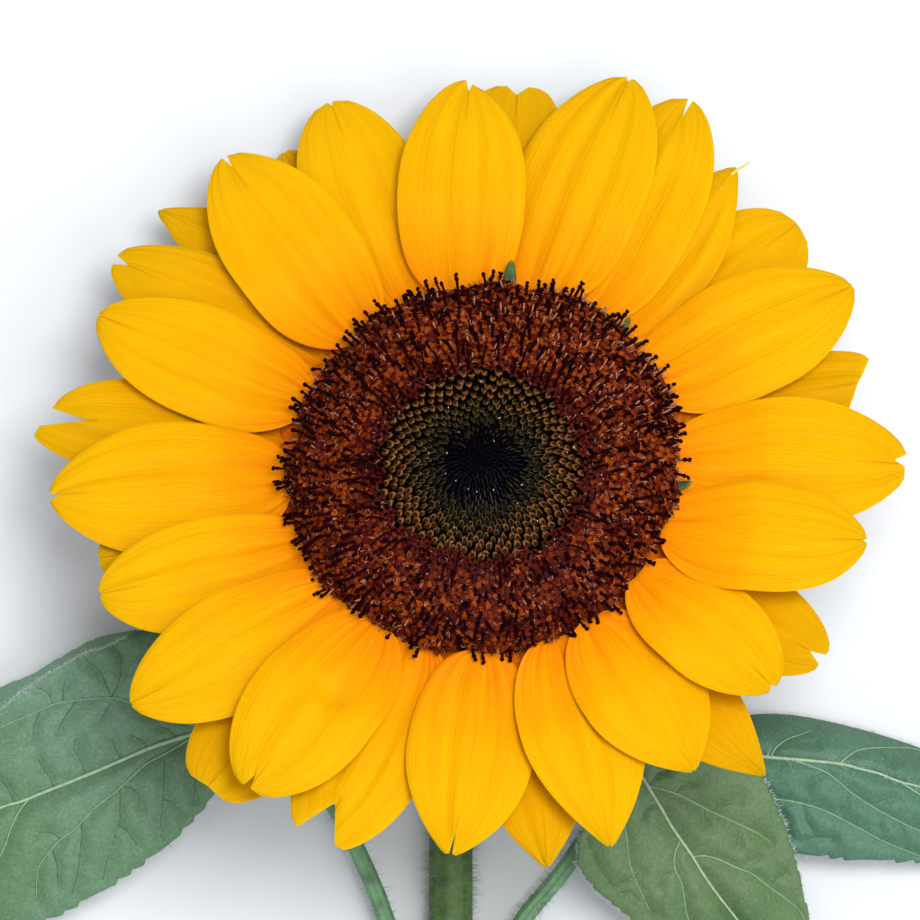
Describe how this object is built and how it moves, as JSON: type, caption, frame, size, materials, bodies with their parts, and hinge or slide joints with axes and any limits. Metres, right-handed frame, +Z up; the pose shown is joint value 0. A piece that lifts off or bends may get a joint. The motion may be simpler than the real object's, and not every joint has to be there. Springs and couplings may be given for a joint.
{
  "type": "cut sunflower",
  "caption": "Cut sunflower bloom lying face up on a short bent stem, with golden ray florets round a brown disc and toothed leaves on long stalks.",
  "frame": {"origin": "centre of the plant's overall box, on the surface it lies on", "axes": "+Z up out of the surface, the stem lies along the surface towards -Y and the face leans towards +Y"},
  "size_m": [0.2819, 0.2185, 0.0761],
  "materials": {
    "disc florets": "dark brown tubular florets, matt",
    "front ray florets": "golden yellow, satin",
    "back ray florets": "golden yellow in shade, satin",
    "involucre": "green, softly hairy",
    "stem": "grey green, hairy",
    "leaves": "grey green, rough, matt"
  },
  "bodies": {
    "root": {"disc_florets": "disc florets", "involucre": "involucre", "stem": "stem", "petiole_left": "stem", "petiole_right_front": "stem", "petiole_right_back": "stem", "leaf_left": "leaves", "leaf_right_front": "leaves", "leaf_right_back": "leaves", "ray_floret_front_01": "front ray florets", "ray_floret_front_02": "front ray florets", "ray_floret_front_03": "front ray florets", "ray_floret_front_04": "front ray florets", "ray_floret_front_05": "front ray florets", "ray_floret_front_06": "front ray florets", "ray_floret_front_07": "front ray florets", "ray_floret_front_08": "front ray florets", "ray_floret_front_09": "front ray florets", "ray_floret_front_10": "front ray florets", "ray_floret_front_11": "front ray florets", "ray_floret_front_12": "front ray florets", "ray_floret_front_13": "front ray florets", "ray_floret_front_14": "front ray florets", "ray_floret_front_15": "front ray florets", "ray_floret_front_16": "front ray florets", "ray_floret_front_17": "front ray florets", "ray_floret_front_18": "front ray florets", "ray_floret_front_19": "front ray florets", "ray_floret_back_01": "back ray florets", "ray_floret_back_02": "back ray florets", "ray_floret_back_03": "back ray florets", "ray_floret_back_04": "back ray florets", "ray_floret_back_05": "back ray florets", "ray_floret_back_06": "back ray florets", "ray_floret_back_07": "back ray florets", "ray_floret_back_08": "back ray florets", "ray_floret_back_09": "back ray florets", "ray_floret_back_10": "back ray florets", "ray_floret_back_11": "back ray florets", "ray_floret_back_12": "back ray florets"}
  },
  "joints": []
}
